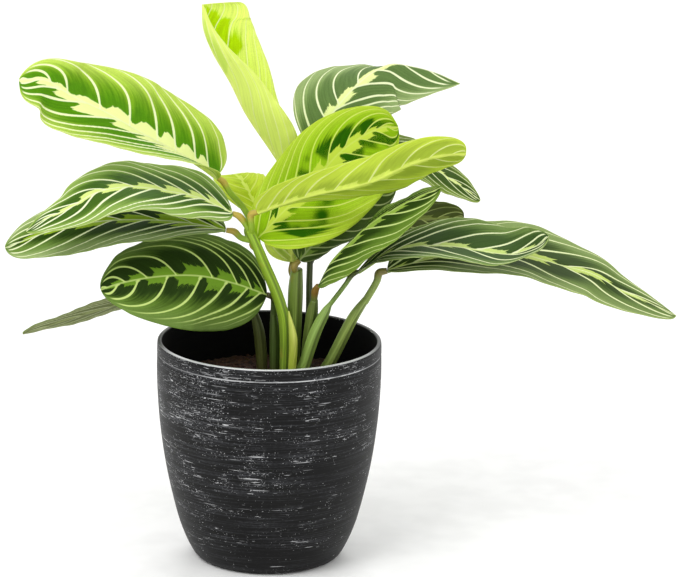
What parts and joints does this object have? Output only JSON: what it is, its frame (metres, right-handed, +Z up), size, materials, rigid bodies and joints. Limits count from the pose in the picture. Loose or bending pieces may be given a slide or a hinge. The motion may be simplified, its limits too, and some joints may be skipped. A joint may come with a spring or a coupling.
{
  "type": "potted prayer plant maranta",
  "caption": "Clump of broad, arching, veined leaf blades on slender stalks, rooted in soil in a round, slightly bulged pot that tapers to a flat base.",
  "frame": {"origin": "middle of the pot's flat base, on the surface it stands on", "axes": "+Z up, -Y towards the front of the plant, +X to its right"},
  "size_m": [0.3874, 0.1548, 0.3201],
  "materials": {
    "pot_plastic": "charcoal black plastic, satin, dry-brushed with short level silver streaks; plain matte black inside",
    "potting_soil": "dark red-brown peat, matte, crumbly",
    "stem_green": "smooth fleshy green stalk, satin, orange-brown at the knuckles",
    "leaf_young": "bright young green blade with pale yellow band and veins, satin",
    "leaf_mature": "dark green blade with yellow-green band, pale veins and grey-green margin, satin",
    "leaf_shade": "mid green blade with olive-black patches and yellow-green band, satin"
  },
  "bodies": {
    "root": {"pot": "pot_plastic", "soil": "potting_soil", "leaf_upper_left": "leaf_young", "leaf_left": "leaf_mature", "leaf_left_under": "leaf_mature", "leaf_low_left": "leaf_shade", "leaf_low_left_back": "leaf_shade", "leaf_upright": "leaf_young", "leaf_centre": "leaf_young", "leaf_centre_front": "leaf_young", "leaf_behind_centre": "leaf_young", "leaf_under_centre": "leaf_mature", "leaf_right_front": "leaf_shade", "leaf_right_back": "leaf_shade", "leaf_upper_right": "leaf_mature", "leaf_right_behind": "leaf_mature", "leaf_right": "leaf_mature", "leaf_far_right": "leaf_mature", "leaf_left_back": "leaf_young", "stem_left": "stem_green", "stem_middle": "stem_green", "stem_back": "stem_green", "stem_near": "stem_green", "stem_right": "stem_green", "stem_far_right": "stem_green", "stem_low_left": "stem_green", "stem_low_back": "stem_green", "stem_young": "stem_green"}
  },
  "joints": []
}
